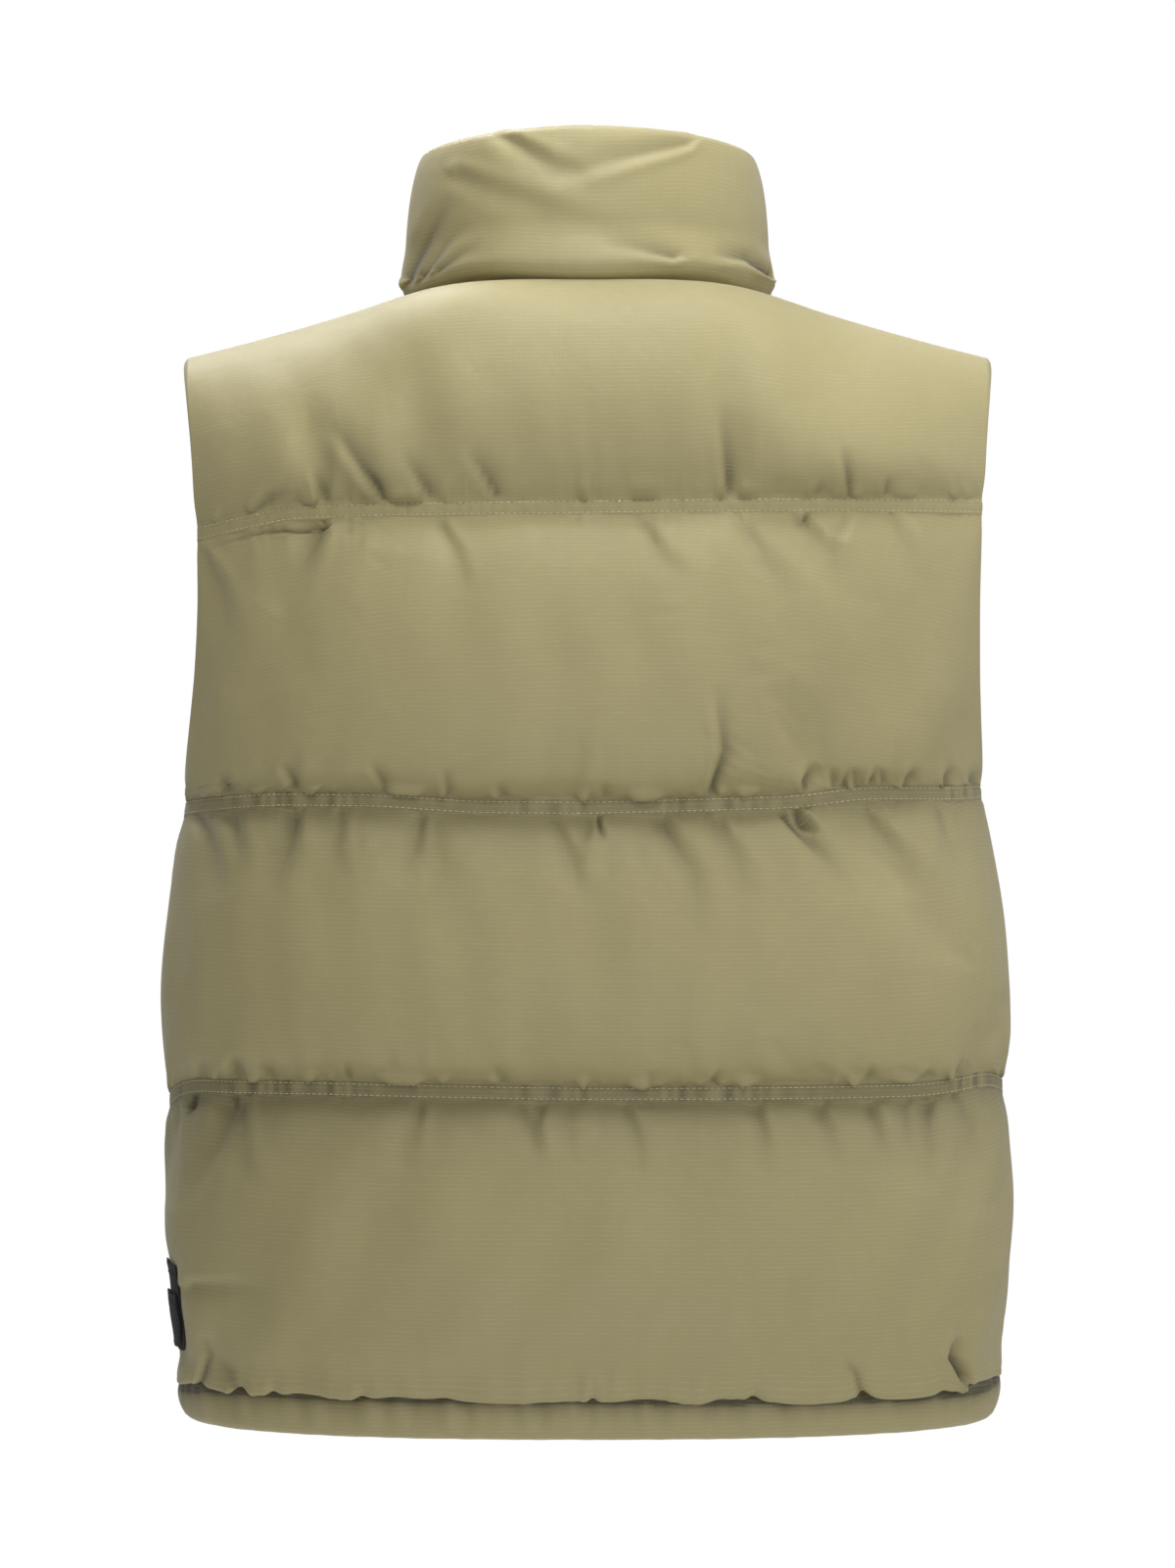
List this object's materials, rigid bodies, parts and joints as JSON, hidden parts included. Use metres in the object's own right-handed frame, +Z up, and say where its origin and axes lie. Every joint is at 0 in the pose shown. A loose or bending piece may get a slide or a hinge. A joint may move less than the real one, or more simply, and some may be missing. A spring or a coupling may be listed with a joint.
{
  "type": "padded stand-collar vest",
  "caption": "Sleeveless padded jacket with wide horizontal quilted baffles, a stand collar, a narrow hem band, a front zip and a plain side tab, hollow as worn.",
  "frame": {"origin": "the middle of the neck base, where the wearer's shoulders hold the vest up", "axes": "+Z up along the wearer's back, -Y out of the front with the zip, +X to the wearer's left"},
  "size_m": [0.4753, 0.2972, 0.712],
  "materials": {
    "shell": "matt ripstop nylon",
    "zip_tape": "woven tape",
    "zip_teeth": "moulded",
    "slider_metal": "satin gunmetal",
    "tab_cloth": "black felted cloth"
  },
  "bodies": {
    "vest": {"back_yoke": "shell", "back_baffle_2": "shell", "back_baffle_3": "shell", "back_baffle_4": "shell", "back_hem": "shell", "front_left_yoke": "shell", "front_left_baffle_2": "shell", "front_left_baffle_3": "shell", "front_left_baffle_4": "shell", "front_left_hem": "shell", "front_right_yoke": "shell", "front_right_baffle_2": "shell", "front_right_baffle_3": "shell", "front_right_baffle_4": "shell", "front_right_hem": "shell", "collar": "shell", "zip_tape_left": "zip_tape", "zip_tape_right": "zip_tape", "zip_teeth": "zip_teeth", "zip_slider": "slider_metal", "side_tab": "tab_cloth", "side_tab_face": "tab_cloth"},
    "pull": {"zip_pull": "slider_metal"}
  },
  "joints": [
    {"name": "pull_hinge", "type": "hinge", "parent": "vest", "child": "pull", "pos_m": [0, -0.08861, 0.03806], "axis": [-1, 0, 0], "range_deg": [0, 170]}
  ]
}
